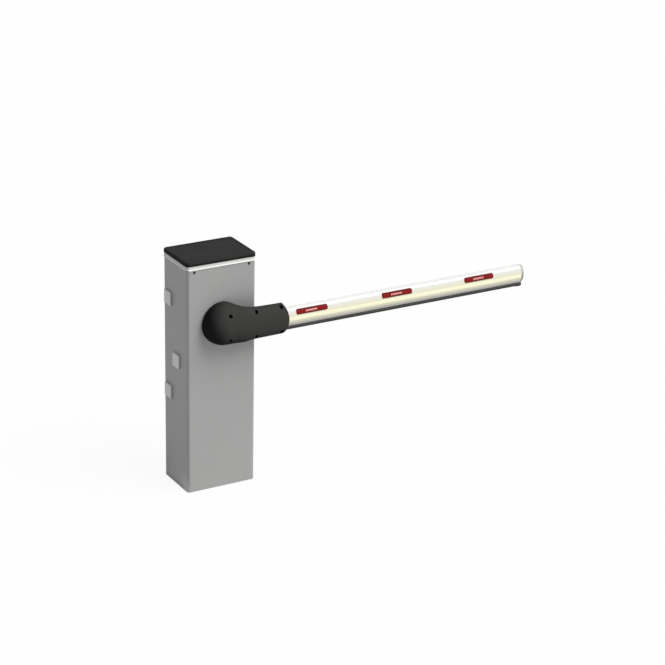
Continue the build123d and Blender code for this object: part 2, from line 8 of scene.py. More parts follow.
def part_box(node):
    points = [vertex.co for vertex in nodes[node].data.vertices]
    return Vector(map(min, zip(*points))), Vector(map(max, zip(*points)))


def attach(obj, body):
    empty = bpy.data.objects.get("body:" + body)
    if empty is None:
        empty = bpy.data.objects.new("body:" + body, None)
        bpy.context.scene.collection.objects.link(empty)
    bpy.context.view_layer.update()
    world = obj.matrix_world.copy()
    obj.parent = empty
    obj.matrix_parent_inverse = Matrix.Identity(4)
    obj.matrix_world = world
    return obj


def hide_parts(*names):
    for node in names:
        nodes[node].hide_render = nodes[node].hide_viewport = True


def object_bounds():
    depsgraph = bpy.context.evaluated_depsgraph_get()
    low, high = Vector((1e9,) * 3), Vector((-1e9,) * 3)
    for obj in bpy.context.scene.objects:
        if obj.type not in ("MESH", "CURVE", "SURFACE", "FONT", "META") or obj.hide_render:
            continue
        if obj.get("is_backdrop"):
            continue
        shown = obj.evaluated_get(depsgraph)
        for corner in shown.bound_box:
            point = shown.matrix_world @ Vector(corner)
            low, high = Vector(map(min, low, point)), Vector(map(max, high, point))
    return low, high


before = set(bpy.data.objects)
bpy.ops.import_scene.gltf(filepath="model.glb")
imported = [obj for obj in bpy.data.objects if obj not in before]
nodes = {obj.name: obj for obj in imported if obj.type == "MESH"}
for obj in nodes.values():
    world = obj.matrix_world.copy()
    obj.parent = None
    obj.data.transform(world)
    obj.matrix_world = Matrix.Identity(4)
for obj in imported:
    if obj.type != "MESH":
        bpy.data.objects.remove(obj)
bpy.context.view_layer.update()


# Foot plate and door frame: steel plate and folded strip, hot-dip galvanised, inside the housing.
# They show from below and behind the door's gap, with the dull spangle of the zinc.
class Signal:
    """The output of a node, used in plain sums. Each operation adds one Math node."""

    def __init__(self, maker, socket):
        self.maker = maker
        self.socket = socket

    def combine(self, operation, first, second):
        return self.maker.node(
            "ShaderNodeMath", {"operation": operation}, {"Value": first, "Value_001": second}
        )

    def apply(self, operation, second=0.0):
        """This value put through one operation of the Math node."""
        return self.combine(operation, self, second)

    def __add__(self, other):
        return self.apply("ADD", other)

    def __radd__(self, other):
        return self.combine("ADD", other, self)

    def __sub__(self, other):
        return self.apply("SUBTRACT", other)

    def __rsub__(self, other):
        return self.combine("SUBTRACT", other, self)

    def __mul__(self, other):
        return self.apply("MULTIPLY", other)

    def __rmul__(self, other):
        return self.combine("MULTIPLY", other, self)

    def __truediv__(self, other):
        return self.apply("DIVIDE", other)

    def __pow__(self, other):
        return self.apply("POWER", other)

    def __abs__(self):
        return self.apply("ABSOLUTE")

    def __lt__(self, other):
        return self.apply("LESS_THAN", other)

    def __gt__(self, other):
        return self.apply("GREATER_THAN", other)

    def step(self, low, high):
        """0 below low, 1 above high, and a smooth rise between them."""
        return self.maker.node(
            "ShaderNodeMapRange",
            {"interpolation_type": "SMOOTHSTEP"},
            {"Value": self, "From Min": low, "From Max": high},
        )


class Maker:
    """A node tree whose nodes are all made by one method."""

    def __init__(self, tree):
        self.tree = tree

    def node(self, kind, settings, links, output=None):
        """A node of this kind: its settings first, then the values or links of its sockets."""
        made = self.tree.nodes.new(kind)
        for name, value in settings.items():
            setattr(made, name, value)
        for name, value in links.items():
            socket = next((s for s in made.inputs if s.identifier == name), None) or made.inputs[name]
            if isinstance(value, Signal):
                self.tree.links.new(value.socket, socket)
            elif socket.type == "RGBA":
                socket.default_value = (*value, 1.0)
            else:
                socket.default_value = value
        found = next((s for s in made.outputs if s.identifier == output), None)
        return Signal(self, found or made.outputs[output or 0])

    def mix(self, share, first, second):
        return self.node(
            "ShaderNodeMix",
            {"data_type": "RGBA"},
            {"Factor_Float": share, "A_Color": first, "B_Color": second},
            "Result_Color",
        )


class Finish(Maker):
    """A material with one Principled shader, whose pattern lies on the piece's own coordinates."""

    def __init__(self, name, **constants):
        self.material = bpy.data.materials.new(name)
        self.material.use_nodes = True
        super().__init__(self.material.node_tree)
        self.shader = self.tree.nodes["Principled BSDF"]
        for key, value in constants.items():
            self.shader.inputs[key.replace("_", " ")].default_value = value
        self.place = self.node("ShaderNodeTexCoord", {}, {}, "Object")

    def noise(self, size, detail=3.0, stretch=(1.0, 1.0, 1.0)):
        """Noise with features of about this size, in metres, drawn out by the stretch."""
        place = self.node(
            "ShaderNodeMapping", {}, {"Vector": self.place, "Scale": tuple(1 / s for s in stretch)}
        )
        return self.node(
            "ShaderNodeTexNoise", {}, {"Vector": place, "Scale": 1 / size, "Detail": detail}
        )

    def axis(self, name):
        return self.node("ShaderNodeSeparateXYZ", {}, {"Vector": self.place}, name)

    def facing(self, direction):
        """How far the surface faces this way: 1 when fully, below 0 when it faces away."""
        normal = self.node("ShaderNodeTexCoord", {}, {}, "Normal")
        return self.node(
            "ShaderNodeVectorMath",
            {"operation": "DOT_PRODUCT"},
            {"Vector": normal, "Vector_001": tuple(Vector(direction).normalized())},
            "Value",
        )

    def done(self, colour, roughness, height, depth):
        """The material with its colour, its roughness and a bump of this height signal and depth."""
        bump = self.node("ShaderNodeBump", {}, {"Height": height, "Distance": depth})
        for name, signal in (("Base Color", colour), ("Roughness", roughness), ("Normal", bump)):
            self.tree.links.new(signal.socket, self.shader.inputs[name])
        return self.material


def dress(material, *names):
    """Give these nodes of the frame this material alone."""
    for name in names:
        mesh = nodes[name].data
        mesh.materials.clear()
        mesh.materials.append(material)


spangles_per_metre = 140.0
zinc = Finish("galvanised zinc", Metallic=1.0)
spangle = zinc.node(
    "ShaderNodeTexVoronoi", {}, {"Vector": zinc.place, "Scale": spangles_per_metre}, "Color"
)
spangle_tone = zinc.node("ShaderNodeSeparateColor", {}, {"Color": spangle}, "Red")
zinc_film = zinc.noise(0.03)
galvanised = zinc.done(
    zinc.mix(spangle_tone * 0.6 + zinc_film * 0.4, (0.36, 0.37, 0.38), (0.62, 0.64, 0.65)),
    spangle_tone * 0.18 + zinc_film * 0.1 + 0.32,
    spangle_tone + zinc.noise(0.0008) * 0.5,
    0.00002,
)
dress(galvanised, "foot_plate", "door_frame")


# Housing shell and rear door: folded sheet steel with a satin grey powder coat. The coat has a fine
# orange peel and faint runs from the rain. Road dust lies on it near the ground. The foot of the left
# side is painted paler, which is painted light, and the left front fold is painted darker, which is
# painted shade. The coat is near-black in a ring round the heads of the lid screws.
dust_height = 0.14
painted_light_left_foot_height = 0.13
screw_ring_start = 0.0048
screw_ring_end = 0.0075

powder = Finish("grey powder coat", Specular_IOR_Level=0.22)
coat_tone = powder.noise(0.22, 2.0)
coat_grain = powder.noise(0.0016, 2.0)
rain_runs = powder.noise(0.012, 4.0, (1.0, 1.0, 30.0)).step(0.5, 0.8)
dust_patches = powder.noise(0.05, 6.0, (1.0, 1.0, 2.5))
dust = (1 - powder.axis("Z").step(0.0, dust_height)) * dust_patches.step(0.35, 0.75)
left_side = powder.facing((-1, 0, 0)).step(0.2, 0.8)
# Painted light: the foot of the left side is mixed towards a pale colour.
painted_light_left_foot = left_side * (1 - powder.axis("Z").step(0.0, painted_light_left_foot_height)) ** 2
low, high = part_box("lid_screw_front_right")
screw_across = abs(powder.axis("X")) - (low.x + high.x) / 2
screw_up = powder.axis("Z") - (low.z + high.z) / 2
from_screw = (screw_across * screw_across + screw_up * screw_up) ** 0.5
# The coat is mixed to near-black in a ring round each lid screw head.
screw_dark_ring = 1 - from_screw.step(screw_ring_start, screw_ring_end)
# Painted shade: the left front fold is darkened.
painted_shade_fold = powder.facing((-0.72, -0.70, 0)).step(0.84, 1.0)
coat = powder.mix(coat_tone * 0.5 + coat_grain * 0.5, (0.336, 0.337, 0.332), (0.384, 0.385, 0.378))
dust_and_painted_light_coat = powder.mix(dust * 0.3 + rain_runs * 0.05, coat, (0.34, 0.33, 0.30))
dust_and_painted_light_coat = powder.mix(painted_light_left_foot * 0.45, dust_and_painted_light_coat, (0.78, 0.77, 0.74))
painted_steel = powder.done(
    powder.mix(screw_dark_ring * 0.85 + painted_shade_fold * 0.17, dust_and_painted_light_coat, (0.03, 0.03, 0.028)),
    coat_tone * 0.10 + coat_grain * 0.08 + dust * 0.2 + 0.38,
    coat_grain + powder.noise(0.0005, 1.0) * 0.3,
    0.00005,
)
dress(painted_steel, "cabinet_shell", "rear_door")


# Door lock: a nickel-plated quarter-turn lock in the rear door, with turning marks on its head
# and a thin, uneven film of finger grease.
nickel = Finish("nickel plate", Metallic=1.0)
turning = nickel.noise(0.0006, 2.0, (1.0, 1.0, 8.0))
nickel_film = nickel.noise(0.009)
plated = nickel.done(
    nickel.mix(nickel_film, (0.55, 0.54, 0.50), (0.70, 0.69, 0.66)),
    turning * 0.1 + nickel_film * 0.15 + 0.16,
    turning,
    0.00001,
)
dress(plated, "door_lock")


# Light band: a moulded ring of opal plastic between the housing and the lid. Its solid lip sheds
# water. The lip glows faintly, which is painted light, and the upper wall under the lid is darker,
# which is painted shade. Painted shade also darkens its left side, its left front corner and the foot
# of the lip.
band_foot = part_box("light_band")[0].z
lip_top = band_foot + 0.0065
lip_round = 0.0015

opal = Finish("opal plastic", Specular_IOR_Level=0.25, Emission_Strength=0.08)
opal_tone = opal.noise(0.04)
opal_grain = opal.noise(0.0012, 2.0)
above_lip = opal.axis("Z").step(lip_top - lip_round, lip_top)
# Painted shade: the foot of the lip, the left side and the left front corner are darkened.
painted_shade_lip_foot = 1 - opal.axis("Z").step(band_foot + 0.0008, band_foot + 0.0038)
painted_shade_left = opal.facing((-1, 0, 0)).step(0.3, 0.9)
painted_shade_corner = opal.facing((-0.75, -0.66, 0)).step(0.78, 1.0)
lip_colour = opal.mix(opal_tone, (0.92, 0.92, 0.90), (0.97, 0.97, 0.95))
# The upper wall's darker colour is painted shade under the lid.
lid_shaded_upper_colour = opal.mix(opal_tone, (0.62, 0.62, 0.60), (0.70, 0.70, 0.68))
opal_plastic = opal.done(
    opal.mix(
        painted_shade_left * 0.37 + painted_shade_corner * 0.35 + painted_shade_lip_foot * 0.45,
        opal.mix(above_lip, lip_colour, lid_shaded_upper_colour),
        (0.30, 0.31, 0.32),
    ),
    opal_tone * 0.08 + opal_grain * 0.08 + 0.3,
    opal_grain,
    0.00002,
)
# Painted light: the lip glows faintly through emission.
glow = opal.mix(above_lip + painted_shade_lip_foot + painted_shade_corner, (1.0, 1.0, 0.98), (0.1, 0.1, 0.1))
opal.tree.links.new(glow.socket, opal.shader.inputs["Emission Color"])
dress(opal_plastic, "light_band")


# Lid: moulded in black plastic with an eroded grain, which hands and weather have polished in
# places. Its top, and more its front edge, is painted grey where the light falls, which is painted
# light. The underside stays black.
def moulded(name, grain_size, lit_from):
    """A finish for grained black plastic, with a painted-light mask of how far it faces the light, its
    grain and its gloss.
    """
    plastic = Finish(name, Specular_IOR_Level=0.05)
    grain = plastic.noise(grain_size)
    worn = plastic.noise(0.07, 4.0).step(0.45, 0.75)
    # Painted light: lighter where the surface faces the given light direction.
    painted_light_facing = plastic.facing(lit_from).step(0.05, 0.80) * (0.86 + grain * 0.2)
    return plastic, painted_light_facing, grain, 0.62 - worn * 0.08 + grain * 0.08


lid, painted_light_facing, grain, roughness = moulded("lid plastic", 0.0011, (0, -0.55, 0.83))
# Painted highlight on the lid's front edge.
painted_highlight_front_edge = lid.facing((0, -0.85, 0.55)).step(0.80, 0.98)
painted_light_grey = lid.mix(painted_light_facing, (0.007, 0.007, 0.007), (0.020, 0.021, 0.020))
lid_plastic = lid.done(
    lid.mix(painted_highlight_front_edge, painted_light_grey, (0.032, 0.033, 0.030)),
    roughness,
    grain,
    0.00012,
)
dress(lid_plastic, "lid")


# Lid screws: four button-head screws of blackened steel with a hexagon socket, two through the
# front wall and two through the rear. Each stands at its own turn, and its black is a little rubbed.
class Recipe(Maker):
    """A Geometry Nodes tree that sets pieces on given places, with named inputs for their sizes."""

    def __init__(self, name, *sizes):
        super().__init__(bpy.data.node_groups.new(name, "GeometryNodeTree"))
        face = self.tree.interface
        face.new_socket("Pieces", in_out="OUTPUT", socket_type="NodeSocketGeometry")
        face.new_socket("Places", in_out="INPUT", socket_type="NodeSocketGeometry")
        self.keys = {}
        for size in sizes:
            made = face.new_socket(size, in_out="INPUT", socket_type="NodeSocketFloat")
            self.keys[size] = made.identifier
        self.inputs = self.tree.nodes.new("NodeGroupInput")

    def given(self, name):
        return Signal(self, self.inputs.outputs[name])

    def axis(self, name):
        """Where each point stands along this axis."""
        place = self.node("GeometryNodeInputPosition", {}, {})
        return self.node("ShaderNodeSeparateXYZ", {}, {"Vector": place}, name)

    def moved(self, shape, x=0.0, z=0.0):
        offset = self.node("ShaderNodeCombineXYZ", {}, {"X": x, "Z": z})
        return self.node("GeometryNodeTransform", {}, {"Geometry": shape, "Translation": offset})

    def round_bar(self, sides, radius, length, middle):
        """A bar along Z with this many sides, round its middle height."""
        bar = self.node(
            "GeometryNodeMeshCylinder", {}, {"Vertices": sides, "Radius": radius, "Depth": length}, "Mesh"
        )
        return self.moved(bar, z=middle)

    def joined(self, operation, first, second):
        """Two solids added, cut or intersected."""
        made = self.node("GeometryNodeMeshBoolean", {"operation": operation, "solver": "EXACT"}, {}, "Mesh")
        target = made.socket.node
        inputs = (0, 1) if operation == "DIFFERENCE" else (1, 1)
        for index, shape in zip(inputs, (first, second)):
            self.tree.links.new(shape.socket, target.inputs[index])
        return made

    def finish(self, *parts):
        """The tree's end: every part realized, with its own material."""
        gathered = self.node("GeometryNodeJoinGeometry", {}, {})
        for instances, material in parts:
            real = self.node("GeometryNodeRealizeInstances", {}, {"Geometry": instances})
            dressed = self.node("GeometryNodeSetMaterial", {}, {"Geometry": real, "Material": material})
            self.tree.links.new(dressed.socket, gathered.socket.node.inputs[0])
        result = self.tree.nodes.new("NodeGroupOutput")
        self.tree.links.new(gathered.socket, result.inputs[0])

    def make(self, name, places, **sizes):
        """The recipe run on these places, as a plain mesh object."""
        mesh = bpy.data.meshes.new(name)
        mesh.from_pydata(places, [], [])
        piece = bpy.data.objects.new(name, mesh)
        bpy.context.scene.collection.objects.link(piece)
        modifier = piece.modifiers.new(name, "NODES")
        modifier.node_group = self.tree
        for size, value in sizes.items():
            modifier[self.keys[size]] = value
        real = piece.evaluated_get(bpy.context.evaluated_depsgraph_get())
        plain = bpy.data.meshes.new_from_object(real)
        piece.modifiers.remove(modifier)
        piece.data = plain
        return piece


def smooth_round_faces(piece):
    """Shade round faces smooth and keep every edge of more than 35 degrees sharp."""
    mesh = piece.data
    mesh.polygons.foreach_set("use_smooth", [True] * len(mesh.polygons))
    mesh.set_sharp_from_angle(angle=math.radians(35.0))


blackening = Finish("blackened steel", Specular_IOR_Level=0.15)
rub = blackening.noise(0.002, 4.0)
blackened = blackening.done(
    blackening.mix(rub.step(0.6, 0.85), (0.004, 0.004, 0.004), (0.016, 0.016, 0.016)),
    rub * 0.2 + 0.42,
    rub,
    0.00002,
)

head_sides = 48
crown_rings = 32
crown_ratio = 1.35
shank_sides = 24
shank_overlap = 0.3
turn_seed = 7

screw_sizes = ("head_radius", "head_height", "shank_radius", "length", "socket_radius")
screw_recipe = Recipe("socket screws", *screw_sizes)
head_radius, head_height, shank_radius, screw_length, socket_radius = map(screw_recipe.given, screw_sizes)
crown_radius = head_radius * crown_ratio
crown = screw_recipe.node(
    "GeometryNodeMeshUVSphere",
    {},
    {"Segments": head_sides, "Rings": crown_rings, "Radius": crown_radius},
    "Mesh",
)
crown = screw_recipe.moved(crown, z=head_height - crown_radius)
blank = screw_recipe.round_bar(head_sides, head_radius, head_height, head_height / 2)
hexagon = screw_recipe.round_bar(6, socket_radius, head_height, head_height)
shank_middle = screw_length * -0.5 + head_height * shank_overlap
shank = screw_recipe.round_bar(shank_sides, shank_radius, screw_length, shank_middle)
screw = screw_recipe.joined("INTERSECT", crown, blank)
screw = screw_recipe.joined("UNION", screw, shank)
screw = screw_recipe.joined("DIFFERENCE", screw, hexagon)
lean = screw_recipe.axis("Y").apply("SIGN") * (-math.pi / 2)
tipped = screw_recipe.node("ShaderNodeCombineXYZ", {}, {"X": lean})
own_turn = screw_recipe.node(
    "FunctionNodeRandomValue",
    {"data_type": "FLOAT"},
    {"Min_001": 0.0, "Max_001": math.pi / 3, "Seed": turn_seed},
    "Value_001",
)
set_screws = screw_recipe.node(
    "GeometryNodeInstanceOnPoints",
    {},
    {"Points": screw_recipe.given("Places"), "Instance": screw, "Rotation": tipped},
)
rolled = screw_recipe.node(
    "GeometryNodeRotateInstances",
    {},
    {
        "Instances": set_screws,
        "Rotation": screw_recipe.node("ShaderNodeCombineXYZ", {}, {"Z": own_turn}),
        "Local Space": True,
    },
)
screw_recipe.finish((rolled, blackened))

front_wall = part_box("cabinet_shell")[0].y
lid_screw_nodes = [name for name in nodes if name.startswith("lid_screw")]
lid_screw_places = []
for name in lid_screw_nodes:
    low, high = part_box(name)
    lid_screw_places.append(
        ((low.x + high.x) / 2, math.copysign(front_wall, low.y), (low.z + high.z) / 2)
    )
low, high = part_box("lid_screw_front_left")
lid_screws = screw_recipe.make(
    "lid_screws",
    lid_screw_places,
    head_radius=(high.x - low.x) / 2,
    head_height=front_wall - low.y,
    shank_radius=0.0025,
    length=high.y - front_wall,
    socket_radius=0.0018,
)
smooth_round_faces(lid_screws)
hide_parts(*lid_screw_nodes)
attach(lid_screws, "housing")


# Blanking plates on the left side: a pale plastic cap over a grey rubber frame that seals it
# against the wall. The frame's upper side is painted pale, which is painted light.
gasket = Finish("gasket rubber", Specular_IOR_Level=0.15)
gasket_grain = gasket.noise(0.0014)
# Painted light: the frame's upward-facing side is made pale.
painted_light_gasket_top = gasket.facing((0, 0, 1)).step(0.1, 0.6)
gasket_grey = gasket.mix(gasket_grain, (0.325, 0.328, 0.333), (0.365, 0.368, 0.373))
gasket_rubber = gasket.done(
    gasket.mix(painted_light_gasket_top, gasket_grey, (0.85, 0.85, 0.84)),
    gasket_grain * 0.15 + 0.65,
    gasket_grain,
    0.00008,
)
plate = Finish("plate plastic", Specular_IOR_Level=0.2)
plate_grain = plate.noise(0.0010)
plate_plastic = plate.done(
    plate.mix(plate_grain * 0.5 + plate.noise(0.02) * 0.5, (0.62, 0.625, 0.62), (0.73, 0.735, 0.73)),
    plate_grain * 0.12 + 0.45,
    plate_grain,
    0.00004,
)
for place in ("upper", "middle", "lower"):
    dress(gasket_rubber, f"side_plate_frame_{place}")
    dress(plate_plastic, f"side_plate_cap_{place}")


# Bearing, its screws, the shaft and its bolt: turned steel, with fine rings from the lathe and an
# oily film.
turned = Finish("turned steel", Metallic=1.0)
rings = turned.noise(0.0007, 2.0, (6.0, 1.0, 6.0))
oil = turned.noise(0.015, 4.0)
turned_steel = turned.done(
    turned.mix(oil, (0.38, 0.37, 0.35), (0.58, 0.57, 0.55)),
    rings * 0.12 + oil * 0.15 + 0.22,
    rings,
    0.00002,
)
dress(turned_steel, "bearing_flange", "flange_screws", "pivot_shaft", "shaft_bolt")


# Arm bracket and the boom's straps, hidden in the cover: cast and pressed aluminium, with the grain
# of the sand and a dull oxide skin.
cast = Finish("cast aluminium", Metallic=1.0)
sand = cast.noise(0.0013, 5.0)
oxide = cast.noise(0.02, 4.0)
cast_aluminium = cast.done(
    cast.mix(oxide, (0.42, 0.42, 0.42), (0.60, 0.60, 0.61)),
    sand * 0.15 + oxide * 0.12 + 0.42,
    sand,
    0.00015,
)
dress(cast_aluminium, "arm_bracket", "boom_strap_inner", "boom_strap_outer")


# Boom: an extruded aluminium section with a gloss white paint. Its colour carries painted light and
# shade in bands along its height: a bright ivory band round its middle is a painted reflection, and
# the grey towards the rubber and the darker band below the top are painted shade. Faint die lines
# run along it.
boom_low, boom_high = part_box("boom_tube")
boom_middle = (boom_low + boom_high) / 2
boom_half_height = (boom_high.z - boom_low.z) / 2
boom_tip_radius = 0.022
boom_wall = 0.0025
tube_end = boom_high.x - 0.013
arc_steps = 18


def boom_level(finish):
    """Height on the boom's section: -1 at its underside, 0 at the middle line and 1 at its top."""
    return (finish.axis("Z") - boom_middle.z) / boom_half_height


def oval_ring(x, growth):
    """The boom's outline at x, grown all round by this much, in two flat and two round arcs."""
    half_depth = (boom_high.y - boom_low.y) / 2
    lift = boom_half_height - boom_tip_radius
    side_radius = (lift**2 + half_depth**2 - boom_tip_radius**2) / (2 * (half_depth - boom_tip_radius))
    shift = side_radius - half_depth
    turn = math.atan2(lift, shift)
    arcs = (
        (-shift, 0.0, side_radius, -turn, turn),
        (0.0, lift, boom_tip_radius, turn, math.pi - turn),
        (shift, 0.0, side_radius, math.pi - turn, math.pi + turn),
        (0.0, -lift, boom_tip_radius, math.pi + turn, 2 * math.pi - turn),
    )
    ring = []
    for depth, height, radius, start, end in arcs:
        for step in range(arc_steps):
            angle = start + (end - start) * step / arc_steps
            across = depth + (radius + growth) * math.cos(angle)
            rise = height + (radius + growth) * math.sin(angle)
            ring.append((x, boom_middle.y - across, boom_middle.z + rise))
    return ring


def zones(finish, level, colour, *further):
    """One colour at the top, then further ones: each takes over as the level falls from high to low."""
    for low, high, taken in further:
        colour = finish.mix(1 - level.step(low, high), colour, taken)
    return colour


def skin(name, rings, material, hollow=False):
    """A closed piece drawn over these rings of points. A hollow one joins its last ring to its first."""
    mesh = bmesh.new()
    loops = [[mesh.verts.new(point) for point in ring] for ring in rings]
    pairs = list(zip(loops, loops[1:]))
    if hollow:
        pairs.append((loops[-1], loops[0]))
    else:
        mesh.faces.new(loops[0])
        mesh.faces.new(loops[-1])
    for one, other in pairs:
        for index, corner in enumerate(one):
            mesh.faces.new((one[index - 1], corner, other[index], other[index - 1]))
    bmesh.ops.recalc_face_normals(mesh, faces=mesh.faces)
    data = bpy.data.meshes.new(name)
    mesh.to_mesh(data)
    mesh.free()
    data.materials.append(material)
    piece = bpy.data.objects.new(name, data)
    bpy.context.scene.collection.objects.link(piece)
    smooth_round_faces(piece)
    return piece


gloss = Finish("gloss white paint", Coat_Weight=0.25, Coat_Roughness=0.08, Specular_IOR_Level=0.4)
die_lines = gloss.noise(0.0014, 2.0, (400.0, 1.0, 1.0))
paint_tone = gloss.noise(0.15, 2.0)
scuffs = gloss.noise(0.004, 6.0, (8.0, 1.0, 1.0)).step(0.62, 0.80)
paint_level = boom_level(gloss) + (paint_tone - 0.5) * 0.06
middle_line = 1 - abs(paint_level).step(0.0, 0.02)
# Painted light and shade: bands of colour by height on the section, with an ivory painted reflection round
# the middle.
paint_with_painted_bands = zones(
    gloss,
    paint_level,
    (0.82, 0.82, 0.80),
    (0.82, 0.97, (0.68, 0.68, 0.66)),
    (0.60, 0.80, (0.76, 0.755, 0.70)),
    (0.20, 0.62, (0.79, 0.765, 0.58)),
    (0.08, 0.16, (0.985, 0.965, 0.69)),
    (-0.34, -0.20, (0.71, 0.69, 0.52)),
    (-0.66, -0.46, (0.45, 0.43, 0.40)),
)
white_paint = gloss.done(
    gloss.mix(scuffs * 0.12, paint_with_painted_bands, (0.60, 0.59, 0.55)),
    paint_tone * 0.05 + scuffs * 0.18 + 0.16,
    die_lines + gloss.noise(0.002, 1.0) * 0.4 - middle_line * 3,
    0.00001,
)
boom_rings = (
    oval_ring(boom_low.x, 0.0),
    oval_ring(tube_end, 0.0),
    oval_ring(tube_end, -boom_wall),
    oval_ring(boom_low.x, -boom_wall),
)
boom_tube = skin("boom_section", boom_rings, white_paint, hollow=True)
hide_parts("boom_tube")
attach(boom_tube, "boom")


# End cap of the boom: a moulded grey plastic plug that swells over the tube's end in a soft round.
# Its face is finely grained, and its lower half is painted a darker olive grey, which is painted shade.
plug_clearance = 0.0003
plug_length = 0.030
cap_reach = 0.0185
cap_rim = 0.004
cap_round = 0.010
cap_round_steps = 8
cap_step = 0.0008
cap_crown = 0.0012
cap_crown_width = (boom_tip_radius - cap_round - cap_step) * 0.9

cap = Finish("cap plastic", Specular_IOR_Level=0.2)
cap_grain = cap.noise(0.0010)
cap_grey = cap.mix(cap_grain * 0.5 + cap.noise(0.03) * 0.5, (0.44, 0.44, 0.43), (0.52, 0.52, 0.51))
# Painted shade: darker olive grey on the lower half.
cap_plastic = cap.done(
    zones(cap, boom_level(cap), cap_grey, (-0.30, 0.60, (0.27, 0.265, 0.22))),
    cap_grain * 0.12 + 0.42,
    cap_grain,
    0.00005,
)
plug = -boom_wall - plug_clearance
cap_rings = [
    oval_ring(tube_end - plug_length, plug),
    oval_ring(tube_end, plug),
    oval_ring(tube_end, -cap_step),
]
for step in range(1, cap_round_steps + 1):
    swing = step / cap_round_steps * math.pi / 2
    reach = cap_rim + (cap_reach - cap_crown - cap_rim) * math.sin(swing)
    cap_rings.append(oval_ring(tube_end + reach, -cap_step - cap_round * (1 - math.cos(swing))))
for share in (0.5, 0.8, 1.0):
    reach = cap_reach - cap_crown * (1 - share) ** 2
    cap_rings.append(oval_ring(tube_end + reach, -cap_step - cap_round - cap_crown_width * share))
end_cap = skin("end_cap_moulding", cap_rings, cap_plastic)
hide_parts("end_cap")
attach(end_cap, "boom")


# Rubber strip under the boom and its end piece: extruded black rubber with a rounded underside and
# fine lines along it. Its sides are grey and its underside is painted darker, which is painted shade.
strip_corner = 0.005
strip_edge = 0.0005
strip_seat = 0.0003
strip_lift = 0.0015
strip_steps = 6
end_cut = 0.008
end_round = 0.007


def strip_ring(x, half_width, depth, shrink=0.0):
    """The strip's outline at x: a top that follows the tube, flat sides and a rounded underside."""
    lift = boom_half_height - boom_tip_radius
    seat = boom_tip_radius + strip_seat
    half_width = half_width - shrink
    inner = half_width - strip_edge
    ring = []
    for step in range(strip_steps + 1):
        across = inner * (2 * step / strip_steps - 1)
        ring.append((across, -lift - math.sqrt(seat**2 - across**2)))
    corners = ((half_width - strip_corner, 0.0), (strip_corner - half_width, -math.pi / 2))
    for centre, start in corners:
        for step in range(strip_steps + 1):
            angle = start - step / strip_steps * math.pi / 2
            rise = strip_corner - depth + shrink + strip_corner * math.sin(angle)
            ring.append((centre + strip_corner * math.cos(angle), rise))
    return [(x, boom_middle.y + across, boom_middle.z + rise) for across, rise in ring]


strip = Finish("weathered rubber", Specular_IOR_Level=0.15)
strip_lines = strip.noise(0.0012, 2.0, (300.0, 1.0, 1.0))
strip_bloom = strip.noise(0.03, 5.0)
strip_grey = strip.mix(strip_bloom, (0.065, 0.063, 0.060), (0.088, 0.086, 0.082))
# Painted shade: darker on the underside.
strip_rubber = strip.done(
    zones(strip, boom_level(strip), strip_grey, (-1.25, -1.05, (0.028, 0.028, 0.026))),
    strip_bloom * 0.15 + strip_lines * 0.08 + 0.56,
    strip_lines + strip.noise(0.0006) * 0.4,
    0.00005,
)
for name in ("bumper_rubber", "bumper_end"):
    low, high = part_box(name)
    half_width = (high.y - low.y) / 2
    depth = boom_middle.z - low.z - strip_lift
    strip_rings = [strip_ring(low.x, half_width, depth)]
    if name == "bumper_rubber":
        strip_rings.append(strip_ring(high.x, half_width, depth))
    else:
        for step in range(strip_steps + 1):
            swing = step / strip_steps * math.pi / 2
            x = high.x - end_cut - end_round * (1 - math.sin(swing))
            strip_rings.append(strip_ring(x, half_width, depth, end_round * (1 - math.cos(swing))))
    rubber = skin(f"{name}_moulding", strip_rings, strip_rubber)
    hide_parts(name)
    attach(rubber, "boom")


# Reflectors: dark red plastic plates stuck along both sides of the boom, with raised hexagon cells
# that throw the light back. A row of pale slanted bars stands near the middle of each.
low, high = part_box("reflector_front_1")
reflector_length = high.x - low.x
reflector_height = high.z - low.z
reflector_corner = 0.008
reflector_border = 0.0012
bend_radius = 0.0585
bend_centre = 0.028
cell_pitch = 0.0030
cell_height = 0.0002
cell_columns = round(reflector_length / cell_pitch)
cell_rows = 8
bar_field = 0.057
bar_shift = -0.003
bar_height = 0.012
bar_count = 9
bar_row_share = 0.86
bar_narrowing = 0.42
bar_slant = 0.35

backing = Finish("red backing", Specular_IOR_Level=0.1)
backing_grain = backing.noise(0.0008)
red_backing = backing.done(
    backing.mix(backing_grain, (0.10, 0.006, 0.006), (0.15, 0.008, 0.008)),
    backing_grain * 0.1 + 0.4,
    backing_grain,
    0.00002,
)
sheeting = Finish("red sheeting", Specular_IOR_Level=0.08)
sheeting_tone = sheeting.noise(0.006)
red_sheeting = sheeting.done(
    sheeting.mix(sheeting_tone, (0.25, 0.008, 0.008), (0.33, 0.013, 0.011)),
    sheeting_tone * 0.1 + 0.26,
    sheeting_tone,
    0.00001,
)
pale = Finish("pale sheeting", Specular_IOR_Level=0.25)
pale_tone = pale.noise(0.003)
pale_sheeting = pale.done(
    pale.mix(pale_tone, (0.84, 0.33, 0.29), (0.96, 0.43, 0.39)),
    pale_tone * 0.1 + 0.3,
    pale_tone,
    0.00001,
)
reflector_nodes = [name for name in nodes if name.startswith("reflector")]
dress(red_backing, *reflector_nodes)

cell_sizes = (
    "length", "height", "corner", "border", "pitch", "relief", "field", "shift", "bar", "radius", "centre"
)
cell_recipe = Recipe("reflector cells", *cell_sizes)
length, height, corner, border, pitch, relief, field, shift, bar_length, radius, centre = map(
    cell_recipe.given, cell_sizes
)


def grid_places(columns, rows, width, rise):
    """A flat grid of points in the plate's own plane, X along it and Y up it."""
    return cell_recipe.node(
        "GeometryNodeMeshGrid",
        {},
        {"Vertices X": columns, "Vertices Y": rows, "Size X": width, "Size Y": rise},
        "Mesh",
    )


def without(points, condition):
    """The points for which the condition doesn't hold."""
    return cell_recipe.node(
        "GeometryNodeDeleteGeometry", {"domain": "POINT"}, {"Geometry": points, "Selection": condition}
    )


